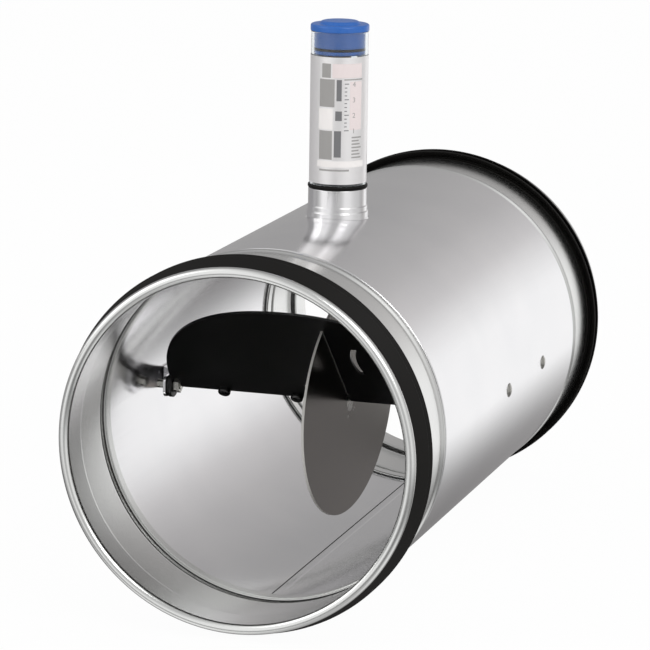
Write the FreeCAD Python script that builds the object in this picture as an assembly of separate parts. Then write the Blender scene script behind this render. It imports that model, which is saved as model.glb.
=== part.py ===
# Constant airflow regulator for round ventilation duct, nominal size 200.
# Origin: centre of the inlet mouth. +Y runs downstream along the duct, +Z up the scale
# column, +X to the right seen from the inlet. Millimetres throughout.
import FreeCAD, Part
import math
import os

os.makedirs("parts", exist_ok=True)
Vector = FreeCAD.Vector

# Duct casing
duct_length = 418.0
body_radius = 98.9            # outside of the rolled body tube
sheet = 0.8                   # wall of every galvanised sheet piece
slip_fit = 0.1                # radial gap between pieces that slide together
seam_width = 6.0              # folded seam along the floor of the body
seam_height = 0.9

# Inlet and outlet collars
roll_radius = 2.5             # rolled edge of the mouth, to the sheet's middle
roll_turn = 270.0             # degrees of roll
channel_depth = 3.2           # seal channel, below the spigot
channel_end = 21.0            # from the mouth
channel_slope = 3.0           # length of the step back out to the spigot
bead_centre = 60.0            # stop bead, from the mouth
bead_height = 1.3
bead_half_width = 4.5
bead_gap = 0.3                # between the bead and the end of the body
skirt_end = 72.0              # inner end of the collar inside the body
hem_radius = 0.45             # fold at the inner end, to the sheet's middle
hem_length = 6.0

# Rubber lip seals
seal_start = 6.2
seal_end = 20.4               # at the floor of the channel
seal_base = 3.4
lip_height = 5.0
lip_thickness = 1.1
lip_lean = 7.0
lip_roots = (2.8, 9.8)

# Scale column
column_offset = 36.5          # column axis behind the shaft axis
column_radius = 16.2          # outside of the clear tube
column_wall = 1.6
neck_radius = 16.7
neck_height = 13.9            # above the body, as are the next two
neck_step_height = 6.1
neck_foot_height = 2.5
neck_step = 0.45
neck_foot = 1.0
neck_lip = 2.2
neck_skirt = 4.2              # sleeve below the inside of the body
neck_ring_height = 4.2
neck_ring_rise = 0.35
tube_length = 87.0
cap_flange_height = 5.6
cap_flange_rise = 0.4
cap_plug_depth = 15.0
cap_wall = 3.0
cap_roof = 3.4
cap_grip = 1.6
cap_grip_depth = 10.8         # groove of the grip ring, below the tube's end
cap_seat = 0.05
label_low_margin = 1.4        # from the label to the two ends of the tube
label_high_margin = 16.0
label_gap = 50.0              # degrees left open at the back of the column
label_thickness = 0.2
label_seat = 0.06

# Air damper and spring inside the column
cylinder_bore = 11.08
cylinder_wall = 1.3
cylinder_drop = 34.0          # its top, below the tube's end
socket_height = 14.9
socket_floor = 3.0
socket_tongue = 6.0
vent_radius = 1.6
vent_circle = 6.5
piston_rise = 15.0            # above the tube's lower end
piston_height = 14.0
piston_floor = 1.6
piston_wall = 1.4
running_gap = 0.08
wire_radius = 0.6
wire_hole = 1.0
wire_end = -5.0
bleed_radius = 0.8
bleed_offset = 6.8
boss_height = 3.4
boss_radius = 3.0
spring_wire = 0.6             # radius of the wire
spring_gap = 0.3              # from the coil to what it holds
spring_pitch = 3.6
carrier_drop = 22.4           # below the tube's end, as are the rod's two ends
carrier_height = 5.0
carrier_window = 2.4
rod_radius = 2.0
rod_gap = 0.06
rod_top_drop = 6.0
rod_bottom_drop = 29.4
rod_slot = 0.8
eye_radius = 2.2
eye_wire = 0.75
eye_rise = 0.4                # overlap of the eye with the rod
setting_nut_height = 3.6
setting_nut_flats = 12.0
seat_gap = 0.1

# Blade and its shaft
shaft_y = 143.0
shaft_radius = 2.5
shaft_overhang = 7.6          # past the lug on each side
flat_gap = 0.4                # from the shaft's flats to the blade's sides
blade_angle = 137.0           # from +Y, turning up and then upstream
blade_side_room = 13.2        # from the inside of the body to the blade's side
blade_tip_room = 9.1
blade_power = 2.24            # 2 would be an ellipse, more is squarer
blade_points = 60
blade_thickness = 1.5
blade_foot = 0.5              # strip of blade that passes below the shaft's axis
notch_width = 5.0             # the blade steps back here to clear the bearings
notch_depth = 8.2
slot_x = 31.0                 # curved slot in the right half
slot_start = 31.0
slot_length = 26.0
slot_width = 3.2

# Guide disc, its hub and the wire quadrant
disc_x = 19.4
disc_thickness = 1.4
disc_end_room = 12.1          # from the inside of the body to the disc's long ends
disc_side_room = 34.1
disc_gap = 0.35
disc_end_gap = 1.5            # slot in the blade past the disc's edge
hub_radius = 6.5
hub_flange_radius = 13.0
hub_flange = 2.2
hub_gap = 0.6                 # from the hub's parts to the blade
press_fit = 0.01
quadrant_half = 3.2
quadrant_web = 1.6            # half thickness of the groove's floor strip
quadrant_flange = 4.6         # flange height over the wire's line
quadrant_low = -75.0
quadrant_high = 55.0
quadrant_windows = (-50.0, -10.0, 30.0)
window_radius = 5.2
window_circle = 21.0
groove_room = 0.3
wrap_start = -62.0
wrap_end = -12.0
anchor_radius = 0.85

# Bearings
bracket_sheet = 1.5
bracket_width = 12.0
lug_inset = 11.9              # from the outside of the body to the lug
lug_reach = 9.0               # lug past the shaft axis, upstream
joggle_start = 152.0
joggle_end = 160.0
strip_room = 59.0             # from the strip's end to the outlet collar
wall_gap = 0.25               # flat strip against the round wall
bush_radius = 4.2
bush_tail = 1.6
bush_flange_radius = 7.2
bush_flange = 2.4
bush_gap = 0.06
clip_radius = 4.0
clip_thickness = 3.4
clip_gap = 0.4
rivet_start = 38.5            # from the joggle to the first rivet
rivet_end = 10.0              # from the second rivet to the strip's end
rivet_head = 4.2
rivet_dome = 1.4
rivet_shank = 1.6
rivet_tail = 2.5
rivet_tail_length = 1.6

# Blade screws: place along the shaft
screw_x = (-54.0, -10.5, 54.0)
screw_head = 3.6
screw_head_height = 2.6
screw_slot = 0.9
screw_slot_depth = 1.0
screw_shank = 1.4
ear_radius = 3.2              # of the blade round each screw
hub_screw_circle = 9.8
hub_screw_count = 3
hub_screw_spread = 70.0       # degrees between them
hub_screw_head = 1.9
hub_screw_height = 1.3
hub_screw_shank = 1.0

# Worked out from the sizes above
body_inner = body_radius - sheet
spigot_radius = body_inner - slip_fit
spigot_line = spigot_radius - sheet / 2
spigot_inner = spigot_radius - sheet
channel_line = spigot_line - channel_depth
channel_floor = spigot_radius - channel_depth
body_start = bead_centre + bead_half_width + bead_gap
column_y = shaft_y + column_offset
neck_foot_top = body_radius + neck_foot_height
neck_step_top = body_radius + neck_step_height
neck_top = body_radius + neck_height
neck_inner = neck_radius - sheet
tube_inner = column_radius - column_wall
tube_bottom = neck_top + neck_ring_height
tube_top = tube_bottom + tube_length
label_bottom = tube_bottom + label_low_margin
label_top = tube_top - label_high_margin
cylinder_top = tube_top - cylinder_drop
socket_bottom = neck_top - socket_height
piston_bottom = tube_bottom + piston_rise
carrier_bottom = tube_top - carrier_drop
rod_top = tube_top - rod_top_drop
rod_bottom = tube_top - rod_bottom_drop
spring_radius = boss_radius + spring_gap + spring_wire
blade_half_width = body_inner - blade_side_room
blade_depth = body_inner - blade_tip_room
disc_half_long = body_inner - disc_end_room
disc_half_high = body_inner - disc_side_room
lug_x = body_radius - lug_inset
strip_end = duct_length - skirt_end - strip_room
rivet_y = (joggle_end + rivet_start, strip_end - rivet_end)
shaft_half = lug_x + shaft_overhang
notch_x = blade_half_width - notch_width
X_AXIS = Vector(1, 0, 0)
Y_AXIS = Vector(0, 1, 0)
Z_AXIS = Vector(0, 0, 1)


def cylinder(radius, start, end, axis, through):
    """Solid cylinder along an axis, between two places measured on that axis."""
    base = Vector(through) + axis * start
    return Part.makeCylinder(radius, end - start, base, axis)


def ring(outer, inner, start, end, axis, through):
    return cylinder(outer, start, end, axis, through).cut(cylinder(inner, start, end, axis, through))


def column_ring(outer, inner, low, high):
    return ring(outer, inner, low, high, Z_AXIS, (0, column_y, 0))


def column_rod(radius, low, high):
    return cylinder(radius, low, high, Z_AXIS, (0, column_y, 0))


def shaft_ring(outer, inner, low, high):
    return ring(outer, inner, low, high, X_AXIS, (0, shaft_y, 0))


def turned(outline):
    """Closed outline of (y, radius) points turned about the duct axis."""
    points = [Vector(0, y, radius) for y, radius in outline]
    face = Part.Face(Part.makePolygon(points + points[:1]))
    return face.revolve(Vector(0, 0, 0), Y_AXIS, 360)


def at_outlet(shape):
    """The same piece turned round, at the other end of the duct."""
    turned_round = shape.copy()
    turned_round.rotate(Vector(0, duct_length / 2, 0), Z_AXIS, 180)
    return turned_round


def on_blade(shape):
    """Place a shape drawn with the blade lying along +Y from the shaft."""
    placed = shape.copy()
    placed.rotate(Vector(0, 0, 0), X_AXIS, blade_angle)
    placed.translate(Vector(0, shaft_y, 0))
    return placed


def hexagon(across_flats, low, high, centre):
    corner = across_flats / math.sqrt(3)
    points = [Vector(centre[0] + corner * math.cos(math.radians(60 * i)),
                     centre[1] + corner * math.sin(math.radians(60 * i)), low) for i in range(7)]
    return Part.Face(Part.makePolygon(points)).extrude(Vector(0, 0, high - low))


def point_on(radius, degrees, centre_y, centre_r):
    angle = math.radians(degrees)
    return Vector(0, centre_y + radius * math.cos(angle), centre_r + radius * math.sin(angle))


def duct_body():
    through = (0, 0, 0)
    end = duct_length - body_start
    tube = ring(body_radius, body_inner, body_start, end, Y_AXIS, through)
    seam_start = skirt_end + 1
    seam = Part.makeBox(seam_width, duct_length - 2 * seam_start, seam_height + sheet / 2)
    seam.translate(Vector(-seam_width / 2, seam_start, -body_inner - sheet / 4))
    tube = tube.fuse(seam)
    tube = tube.cut(column_rod(neck_radius + slip_fit, 0, 2 * body_radius))
    for place in rivet_y:
        tube = tube.cut(cylinder(rivet_shank, -body_radius - 5, body_radius + 5, X_AXIS, (0, place, 0)))
    return tube.removeSplitter()


def collar():
    """Spigot with a rolled mouth, a seal channel, a stop bead and a folded inner end.

    The sheet's middle line is drawn from the end of the roll to the end of the fold."""
    half = sheet / 2
    roll_y, roll_r = roll_radius + half, channel_line + roll_radius
    roll = [point_on(roll_radius, 270 - roll_turn * share, roll_y, roll_r) for share in (1, 0.5, 0)]
    channel_start = roll[-1]
    slope_start = Vector(0, channel_end, channel_line)
    slope_end = Vector(0, channel_end + channel_slope, spigot_line)
    bead_front = Vector(0, bead_centre - bead_half_width, spigot_line)
    bead_top = Vector(0, bead_centre, spigot_line + bead_height)
    bead_back = Vector(0, bead_centre + bead_half_width, spigot_line)
    fold_y = skirt_end - hem_radius - half
    fold = [Vector(0, fold_y, spigot_line), Vector(0, fold_y + hem_radius, spigot_line - hem_radius),
            Vector(0, fold_y, spigot_line - 2 * hem_radius)]
    hem_end = Vector(0, fold_y - hem_length + half, spigot_line - 2 * hem_radius)
    line = [Part.Arc(*roll), Part.LineSegment(channel_start, slope_start), Part.LineSegment(slope_start, slope_end),
            Part.LineSegment(slope_end, bead_front), Part.Arc(bead_front, bead_top, bead_back),
            Part.LineSegment(bead_back, fold[0]), Part.Arc(*fold), Part.LineSegment(fold[-1], hem_end)]
    wall = Part.Wire([piece.toShape() for piece in line]).makeOffset2D(half, join=0, fill=True, openResult=False)
    return wall.revolve(Vector(0, 0, 0), Y_AXIS, 360)


def gasket():
    """Rubber strip in the seal channel with two lips that lean away from the mouth."""
    top = channel_floor + seal_base
    tip = top + lip_height
    rear = seal_end + seal_base * channel_slope / channel_depth
    outline = [(seal_start, channel_floor), (seal_start, top)]
    for root in lip_roots:
        start = seal_start + root
        outline += [(start, top), (start + lip_lean, tip), (start + lip_lean + lip_thickness, tip - lip_thickness / 3),
                    (start + 2 * lip_thickness, top)]
    outline += [(rear, top), (seal_end, channel_floor)]
    return turned(outline)


def column_neck():
    """Short drawn neck: foot on the duct, two steps, and a lip crimped under the duct wall."""
    low = body_inner - neck_skirt
    outline = [(neck_inner, low), (neck_radius, low), (neck_radius, neck_top), (neck_inner, neck_top)]
    points = [Vector(r, 0, z) for r, z in outline]
    sleeve = Part.Face(Part.makePolygon(points + points[:1])).revolve(Vector(0, 0, 0), Z_AXIS, 360)
    sleeve.translate(Vector(0, column_y, 0))
    foot = column_ring(neck_radius + neck_foot, neck_radius - sheet / 2, body_radius - 3, neck_foot_top)
    step = column_ring(neck_radius + neck_step, neck_radius - sheet / 2, neck_foot_top, neck_step_top)
    duct = cylinder(body_radius, 0, duct_length, Y_AXIS, (0, 0, 0))
    raised = foot.cut(duct).fuse(step)
    lip_radius = body_inner - cap_seat
    lip = column_ring(neck_radius + neck_lip, neck_radius - sheet / 2, low - sheet, body_inner)
    shell = ring(lip_radius, lip_radius - sheet, 0, duct_length, Y_AXIS, (0, 0, 0))
    inside = cylinder(lip_radius - sheet, 0, duct_length, Y_AXIS, (0, 0, 0))
    return sleeve.cut(inside).fuse(raised).fuse(lip.common(shell)).removeSplitter()


def neck_ring():
    return column_ring(neck_radius + neck_ring_rise, tube_inner, neck_top, tube_bottom)


def tube_socket():
    """Plastic plug that joins the neck to the clear tube and guides the wire."""
    lower = column_rod(neck_inner - slip_fit, socket_bottom, neck_top)
    tongue = column_rod(tube_inner - slip_fit, neck_top, tube_bottom + socket_tongue)
    bore = column_rod(cylinder_bore + cylinder_wall + slip_fit / 2, socket_bottom + socket_floor, tube_top)
    wire = column_rod(wire_hole, socket_bottom - 1, socket_bottom + socket_floor + 1)
    socket = lower.fuse(tongue).cut(bore).cut(wire)
    for turn in range(4):
        vent = column_rod(vent_radius, socket_bottom - 1, socket_bottom + socket_floor + 1)
        angle = math.radians(45 + 90 * turn)
        vent.translate(Vector(math.cos(angle), math.sin(angle), 0) * vent_circle)
        socket = socket.cut(vent)
    return socket.removeSplitter()


def scale_tube():
    return column_ring(column_radius, tube_inner, tube_bottom, tube_top)


def scale_label():
    """Printed foil wrapped round the tube, open at the back."""
    inner = column_radius + label_seat
    sleeve = column_ring(inner + label_thickness, inner, label_bottom, label_top)
    reach = 3 * column_radius
    half = math.radians(label_gap / 2)
    corner = [Vector(0, column_y, label_bottom - 1),
              Vector(reach * math.sin(half), column_y + reach * math.cos(half), label_bottom - 1),
              Vector(-reach * math.sin(half), column_y + reach * math.cos(half), label_bottom - 1)]
    wedge = Part.Face(Part.makePolygon(corner + corner[:1])).extrude(Vector(0, 0, label_top - label_bottom + 2))
    return sleeve.cut(wedge)


def cap():
    flange_radius = column_radius + cap_flange_rise
    flange_low = tube_top + cap_seat
    flange = column_rod(flange_radius, flange_low, tube_top + cap_flange_height)
    flange = flange.makeFillet(1.2, [flange.Edges[i] for i in top_edges(flange)])
    plug = column_rod(tube_inner - running_gap, tube_top - cap_plug_depth, flange_low)
    hollow = column_rod(tube_inner - running_gap - cap_wall, tube_top - cap_plug_depth - 1,
                        tube_top + cap_flange_height - cap_roof)
    body = flange.fuse(plug).cut(hollow)
    low = tube_top - cap_grip_depth
    groove = column_ring(tube_inner + 1, tube_inner - running_gap - cap_grip / 2, low, low + cap_grip)
    return body.cut(groove).removeSplitter()


def top_edges(shape):
    """Numbers of the circular edges at the highest place of a shape."""
    top = shape.BoundBox.ZMax
    return [i for i, edge in enumerate(shape.Edges)
            if edge.BoundBox.ZMin > top - 1e-4 and edge.Length > 1]


def cap_ring():
    low = tube_top - cap_grip_depth + slip_fit
    return column_ring(tube_inner - running_gap / 2, tube_inner - running_gap - cap_grip / 2 + press_fit,
                       low, low + cap_grip - 2 * slip_fit)


def damper_cylinder():
    return column_ring(cylinder_bore + cylinder_wall, cylinder_bore, socket_bottom + socket_floor, cylinder_top)


def damper_piston():
    """Open cup that slides in the damper cylinder, with a boss that holds spring and wire."""
    radius = cylinder_bore - running_gap
    cup = column_rod(radius, piston_bottom, piston_bottom + piston_height)
    cup = cup.cut(column_rod(radius - piston_wall, piston_bottom + piston_floor, piston_bottom + piston_height + 1))
    boss = column_rod(boss_radius, piston_bottom + piston_floor, piston_bottom + piston_floor + boss_height)
    cup = cup.fuse(boss)
    bleed = column_rod(bleed_radius, piston_bottom - 1, piston_bottom + piston_floor + 1)
    bleed.translate(X_AXIS * bleed_offset)
    return cup.cut(bleed).removeSplitter()


def pull_wire():
    return column_rod(wire_radius, wire_end, piston_bottom)


def tension_spring():
    """Coil from the piston, round its boss, to the eye of the setting rod."""
    low = piston_bottom + piston_floor + spring_gap + spring_wire
    high = rod_bottom + eye_rise - 2 * eye_radius
    height = high - low
    helix = Part.makeHelix(spring_pitch, height, spring_radius)
    start = helix.Edges[0].Vertexes[0].Point
    circle = Part.Wire(Part.makeCircle(spring_wire, start, Y_AXIS))
    coil = Part.Wire(helix).makePipeShell([circle], True, True)
    coil.translate(Vector(0, column_y, low))
    return coil


def setting_carrier():
    """Plug below the cap that carries the setting rod."""
    disc = column_rod(tube_inner - press_fit, carrier_bottom, carrier_bottom + carrier_height)
    disc = disc.cut(column_rod(rod_radius + rod_gap, carrier_bottom - 1, carrier_bottom + carrier_height + 1))
    for side in (-1, 1):
        window = column_rod(carrier_window, carrier_bottom - 1, carrier_bottom + carrier_height + 1)
        window.translate(X_AXIS * side * (tube_inner - 2 * carrier_window))
        disc = disc.cut(window)
    return disc


def setting_rod():
    rod = column_rod(rod_radius, rod_bottom, rod_top)
    eye = Part.makeTorus(eye_radius, eye_wire, Vector(0, column_y, rod_bottom - eye_radius + eye_rise), Y_AXIS)
    slot = Part.makeBox(3 * rod_radius, rod_slot, 2 * rod_slot)
    slot.translate(Vector(-1.5 * rod_radius, column_y - rod_slot / 2, rod_top - 1.5 * rod_slot))
    return rod.fuse(eye).cut(slot).removeSplitter()


def setting_nut():
    low = carrier_bottom + carrier_height + seat_gap
    nut = hexagon(setting_nut_flats, low, low + setting_nut_height, (0, column_y))
    return nut.cut(column_rod(rod_radius + rod_gap, low - 1, low + setting_nut_height + 1))


def blade_shaft():
    """Round bar with a milled flat on each side of the hub, where the blade lies on its middle."""
    shaft = cylinder(shaft_radius, -shaft_half, shaft_half, X_AXIS, (0, shaft_y, 0))
    for low, high in ((-notch_x, -hub_room()), (disc_x + disc_thickness + disc_gap, notch_x)):
        room = Part.makeBox(high - low + 2 * flat_gap, 4 * shaft_radius, shaft_radius + blade_thickness)
        room.translate(Vector(low - flat_gap, -2 * shaft_radius, -blade_thickness / 2))
        shaft = shaft.cut(on_blade(room))
    holes = [Part.makeCylinder(screw_shank, 4 * shaft_radius, Vector(x, 0, -2 * shaft_radius), Z_AXIS)
             for x in screw_x]
    return shaft.cut(on_blade(Part.makeCompound(holes)))


def hub_room():
    """Distance from the middle to where the blade starts, left of the quadrant."""
    return quadrant_half + hub_gap


def blade_outline():
    """Rounded half plate: |x / half width| ^ power + |v / depth| ^ power = 1, over a straight foot."""
    edge = []
    for i in range(blade_points + 1):
        angle = math.pi * i / blade_points
        c, s = math.cos(angle), math.sin(angle)
        edge.append(Vector(math.copysign(abs(c) ** (2 / blade_power), c) * blade_half_width,
                           abs(s) ** (2 / blade_power) * blade_depth, 0))
    rim = Part.BSplineCurve()
    rim.interpolate(edge)
    left, right = edge[-1], edge[0]
    foot = [left, Vector(left.x, -blade_foot, 0), Vector(right.x, -blade_foot, 0), right]
    edges = [rim.toShape()] + [Part.LineSegment(a, b).toShape() for a, b in zip(foot, foot[1:])]
    return Part.Face(Part.Wire(Part.__sortEdges__(edges)))


def blade_plate():
    """The plate, centred on the shaft's axis, less its slots, notches and the room for the hub."""
    low, high = -blade_thickness / 2, 4 * blade_thickness
    plate = blade_outline().extrude(Vector(0, 0, blade_thickness))
    plate.translate(Vector(0, 0, low))
    for x in screw_x:
        plate = plate.fuse(Part.makeCylinder(ear_radius, blade_thickness, Vector(x, 0, low), Z_AXIS))
    foot = -blade_foot - 1
    disc_room = Part.makeBox(disc_thickness + 2 * disc_gap, disc_reach() + disc_end_gap - foot, high)
    disc_room.translate(Vector(disc_x - disc_gap, foot, 2 * low))
    hub_cut = Part.makeBox(disc_x + hub_room(), hub_flange_radius + hub_gap - foot, high)
    hub_cut.translate(Vector(-hub_room(), foot, 2 * low))
    plate = plate.cut(disc_room).cut(hub_cut).cut(curved_slot(2 * low, high))
    for side in (-1, 1):
        notch = Part.makeBox(2 * notch_width, notch_depth - foot, high)
        notch.translate(Vector(side * (notch_x + notch_width) - notch_width, foot, 2 * low))
        plate = plate.cut(notch)
    for x in screw_x:
        plate = plate.cut(Part.makeCylinder(screw_shank, high, Vector(x, 0, 2 * low), Z_AXIS))
    return on_blade(plate.removeSplitter())


def disc_reach():
    """Distance from the shaft to the disc's edge in the direction of the blade."""
    angle = math.radians(blade_angle)
    return 1 / math.hypot(math.cos(angle) / disc_half_long, math.sin(angle) / disc_half_high)


def curved_slot(low, height):
    """Crescent opening: the overlap of one disc less another of the same size, moved sideways."""
    half = slot_length / 2
    bow = 2.4
    radius = (half ** 2 + bow ** 2) / (2 * bow)
    middle = slot_start + half
    outer = Part.makeCylinder(radius, height, Vector(slot_x + radius, middle, low), Z_AXIS)
    inner = Part.makeCylinder(radius, height, Vector(slot_x + radius + slot_width, middle, low), Z_AXIS)
    band = Part.makeBox(radius, slot_length, height)
    band.translate(Vector(slot_x - 1, slot_start, low))
    return outer.cut(inner).common(band)


def blade_screws():
    """Pan head screws through the blade into the shaft."""
    screws = []
    seat = blade_thickness / 2
    for x in screw_x:
        head = Part.makeCylinder(screw_head, screw_head_height, Vector(x, 0, seat), Z_AXIS)
        head = head.makeFillet(screw_head_height * 0.42, [head.Edges[i] for i in top_edges(head)])
        shank = Part.makeCylinder(screw_shank - press_fit, shaft_radius + seat, Vector(x, 0, -shaft_radius), Z_AXIS)
        slot = Part.makeBox(3 * screw_head, screw_slot, 2 * screw_slot_depth)
        slot.translate(Vector(x - 1.5 * screw_head, -screw_slot / 2, seat + screw_head_height - screw_slot_depth))
        screws.append(head.fuse(shank).cut(slot).removeSplitter())
    return on_blade(Part.makeCompound(screws))


def guide_disc():
    """Upright oval plate, square to the shaft, on a round hole for the hub."""
    oval = Part.Ellipse(Vector(0, 0, 0), disc_half_long, disc_half_high)
    plate = Part.Face(Part.Wire(oval.toShape())).extrude(Vector(0, 0, disc_thickness))
    plate = plate.cut(Part.makeCylinder(hub_radius + 2 * press_fit, 2 * disc_thickness, Vector(0, 0, -disc_thickness / 2),
                                        Z_AXIS))
    plate.rotate(Vector(0, 0, 0), X_AXIS, 90)
    plate.rotate(Vector(0, 0, 0), Z_AXIS, 90)
    plate.translate(Vector(disc_x, shaft_y, 0))
    for place in hub_screw_places():
        plate = plate.cut(cylinder(hub_screw_shank, disc_x - 5, disc_x + 5, X_AXIS, place))
    return plate


def hub_screw_places():
    """Centres of the small screws, kept on the side away from the blade."""
    places = []
    for i in range(hub_screw_count):
        angle = math.radians(blade_angle + 180 + hub_screw_spread * (i - 1))
        places.append(Vector(0, shaft_y + hub_screw_circle * math.cos(angle), hub_screw_circle * math.sin(angle)))
    return places


def disc_hub():
    """Turned hub on the shaft: a sleeve from the quadrant to the disc, with a flange behind the disc."""
    sleeve = shaft_ring(hub_radius, shaft_radius + press_fit, quadrant_half + disc_gap, disc_x + disc_thickness)
    hub = sleeve.fuse(shaft_ring(hub_flange_radius, shaft_radius + press_fit, disc_x - hub_flange, disc_x))
    for place in hub_screw_places():
        hub = hub.cut(cylinder(hub_screw_shank, disc_x - 2 * hub_flange, disc_x + 1, X_AXIS, place))
    return hub.removeSplitter()


def hub_screws():
    """Small screws from the hub's side into the disc."""
    screws = []
    face = disc_x - hub_flange
    for place in hub_screw_places():
        head = cylinder(hub_screw_head, face - hub_screw_height, face, X_AXIS, place)
        shank = cylinder(hub_screw_shank - 2 * press_fit, face, disc_x + disc_thickness, X_AXIS, place)
        screws.append(head.fuse(shank).removeSplitter())
    return Part.makeCompound(screws)


def sector(radius, low, high, x_low, x_high):
    """Slice of a disc about the shaft, between two angles from +Y."""
    start = Vector(x_low, shaft_y + radius * math.cos(math.radians(low)), radius * math.sin(math.radians(low)))
    middle_angle = math.radians((low + high) / 2)
    middle = Vector(x_low, shaft_y + radius * math.cos(middle_angle), radius * math.sin(middle_angle))
    end = Vector(x_low, shaft_y + radius * math.cos(math.radians(high)), radius * math.sin(math.radians(high)))
    centre = Vector(x_low, shaft_y, 0)
    wire = Part.Wire([Part.LineSegment(centre, start).toShape(), Part.Arc(start, middle, end).toShape(),
                      Part.LineSegment(end, centre).toShape()])
    return Part.Face(wire).extrude(Vector(x_high - x_low, 0, 0))


def wire_quadrant():
    """Grooved quadrant on the shaft: its groove keeps the wire on the column's axis."""
    groove = column_offset - wire_radius - groove_room
    rim = column_offset + quadrant_flange
    body = sector(rim, quadrant_low, quadrant_high, -quadrant_half, quadrant_half)
    hub = shaft_ring(hub_radius + 1.5, shaft_radius + press_fit, -quadrant_half, quadrant_half)
    channel = shaft_ring(rim + 2, groove, -quadrant_web, quadrant_web)
    body = body.fuse(hub).cut(channel)
    body = body.cut(cylinder(shaft_radius + press_fit, -rim, rim, X_AXIS, (0, shaft_y, 0)))
    for angle in quadrant_windows:
        place = point_on(window_circle, angle, shaft_y, 0)
        body = body.cut(cylinder(window_radius, -rim, rim, X_AXIS, place))
    return body.removeSplitter()


def wire_wrap():
    """Last stretch of the wire, lying in the quadrant's groove up to its anchor."""
    low, high = math.radians(wrap_start), math.radians(wrap_end)
    middle = (low + high) / 2
    places = [Vector(0, shaft_y + column_offset * math.cos(a), column_offset * math.sin(a))
              for a in (low, middle, high)]
    path = Part.Wire(Part.Arc(*places).toShape())
    tangent = Vector(0, -math.sin(low), math.cos(low))
    circle = Part.Wire(Part.makeCircle(wire_radius, places[0], tangent))
    wrap = path.makePipeShell([circle], True, True)
    anchor = Part.makeSphere(anchor_radius, places[0])
    return wrap.fuse(anchor)


def bearing_bracket():
    """Sheet strip along the wall, joggled inwards to a lug that holds the right bearing."""
    outer = math.sqrt((body_inner - wall_gap) ** 2 - (bracket_width / 2) ** 2)
    inner = outer - bracket_sheet
    lug_outer = lug_x + bracket_sheet
    outline = [(lug_x, shaft_y - lug_reach), (lug_outer, shaft_y - lug_reach), (lug_outer, joggle_start),
               (outer, joggle_end), (outer, strip_end), (inner, strip_end), (inner, joggle_end + bracket_sheet),
               (lug_x, joggle_start + bracket_sheet)]
    points = [Vector(x, y, -bracket_width / 2) for x, y in outline]
    strip = Part.Face(Part.makePolygon(points + points[:1])).extrude(Vector(0, 0, bracket_width))
    strip = strip.cut(cylinder(bush_radius, 0, body_radius, X_AXIS, (0, shaft_y, 0)))
    for place in rivet_y:
        strip = strip.cut(cylinder(rivet_shank, 0, body_radius, X_AXIS, (0, place, 0)))
    corners = [edge for edge in strip.Edges
               if abs(edge.BoundBox.YMax - (shaft_y - lug_reach)) < 1e-6 and edge.Length < 2 * bracket_sheet]
    return strip.makeFillet(bracket_width / 3, corners)


def bearing_bush():
    """Flanged plastic bush in the lug, its flange on the inside."""
    bore = shaft_radius + bush_gap
    body = shaft_ring(bush_radius - press_fit, bore, lug_x - press_fit, lug_x + bracket_sheet + bush_tail)
    flange = shaft_ring(bush_flange_radius, bore, lug_x - bush_flange, lug_x)
    return body.fuse(flange).removeSplitter()


def shaft_nut():
    """Hexagon collar on the shaft beside the bush, which keeps the shaft centred."""
    high = lug_x - bush_flange - clip_gap
    nut = hexagon(2 * clip_radius, 0, clip_thickness, (0, 0))
    nut.rotate(Vector(0, 0, 0), Y_AXIS, 90)
    nut.translate(Vector(high - clip_thickness, shaft_y, 0))
    return nut.cut(cylinder(shaft_radius + press_fit, 0, body_radius, X_AXIS, (0, shaft_y, 0)))


def to_left(shape):
    return shape.mirror(Vector(0, 0, 0), X_AXIS)


def bracket_rivets():
    """Two domed rivets through the duct wall into each bracket."""
    wall = math.sqrt((body_inner - wall_gap) ** 2 - (bracket_width / 2) ** 2)
    inner = wall - bracket_sheet
    seat = body_radius + 2 * press_fit
    dome_radius = (rivet_head ** 2 + rivet_dome ** 2) / (2 * rivet_dome)
    rivets = []
    for place in rivet_y:
        ball = Part.makeSphere(dome_radius, Vector(seat + rivet_dome - dome_radius, place, 0))
        dome = ball.common(cylinder(rivet_head, seat, seat + rivet_dome + 1, X_AXIS, (0, place, 0)))
        shank = cylinder(rivet_shank - press_fit, inner - rivet_tail_length, seat + 0.1, X_AXIS, (0, place, 0))
        tail = cylinder(rivet_tail, inner - rivet_tail_length, inner, X_AXIS, (0, place, 0))
        rivet = dome.fuse(shank).fuse(tail).removeSplitter()
        rivets += [rivet, to_left(rivet)]
    return Part.makeCompound(rivets)


front_collar = collar()
front_gasket = gasket()
right_bracket = bearing_bracket()
right_bush = bearing_bush()
right_nut = shaft_nut()

pieces = {
    "duct_body": duct_body(),
    "inlet_collar": front_collar,
    "outlet_collar": at_outlet(front_collar),
    "inlet_gasket": front_gasket,
    "outlet_gasket": at_outlet(front_gasket),
    "column_neck": column_neck(),
    "neck_seal_ring": neck_ring(),
    "tube_socket": tube_socket(),
    "scale_tube": scale_tube(),
    "scale_label": scale_label(),
    "top_cap": cap(),
    "cap_seal_ring": cap_ring(),
    "damper_cylinder": damper_cylinder(),
    "damper_piston": damper_piston(),
    "pull_wire": pull_wire(),
    "tension_spring": tension_spring(),
    "setting_carrier": setting_carrier(),
    "setting_rod": setting_rod(),
    "setting_nut": setting_nut(),
    "blade_shaft": blade_shaft(),
    "blade_plate": blade_plate(),
    "blade_screws": blade_screws(),
    "guide_disc": guide_disc(),
    "disc_hub": disc_hub(),
    "hub_screws": hub_screws(),
    "wire_quadrant": wire_quadrant(),
    "wire_wrap": wire_wrap(),
    "right_bearing_bracket": right_bracket,
    "left_bearing_bracket": to_left(right_bracket),
    "right_bearing_bush": right_bush,
    "left_bearing_bush": to_left(right_bush),
    "right_shaft_nut": right_nut,
    "left_shaft_nut": to_left(right_nut),
    "bracket_rivets": bracket_rivets(),
}

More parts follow.
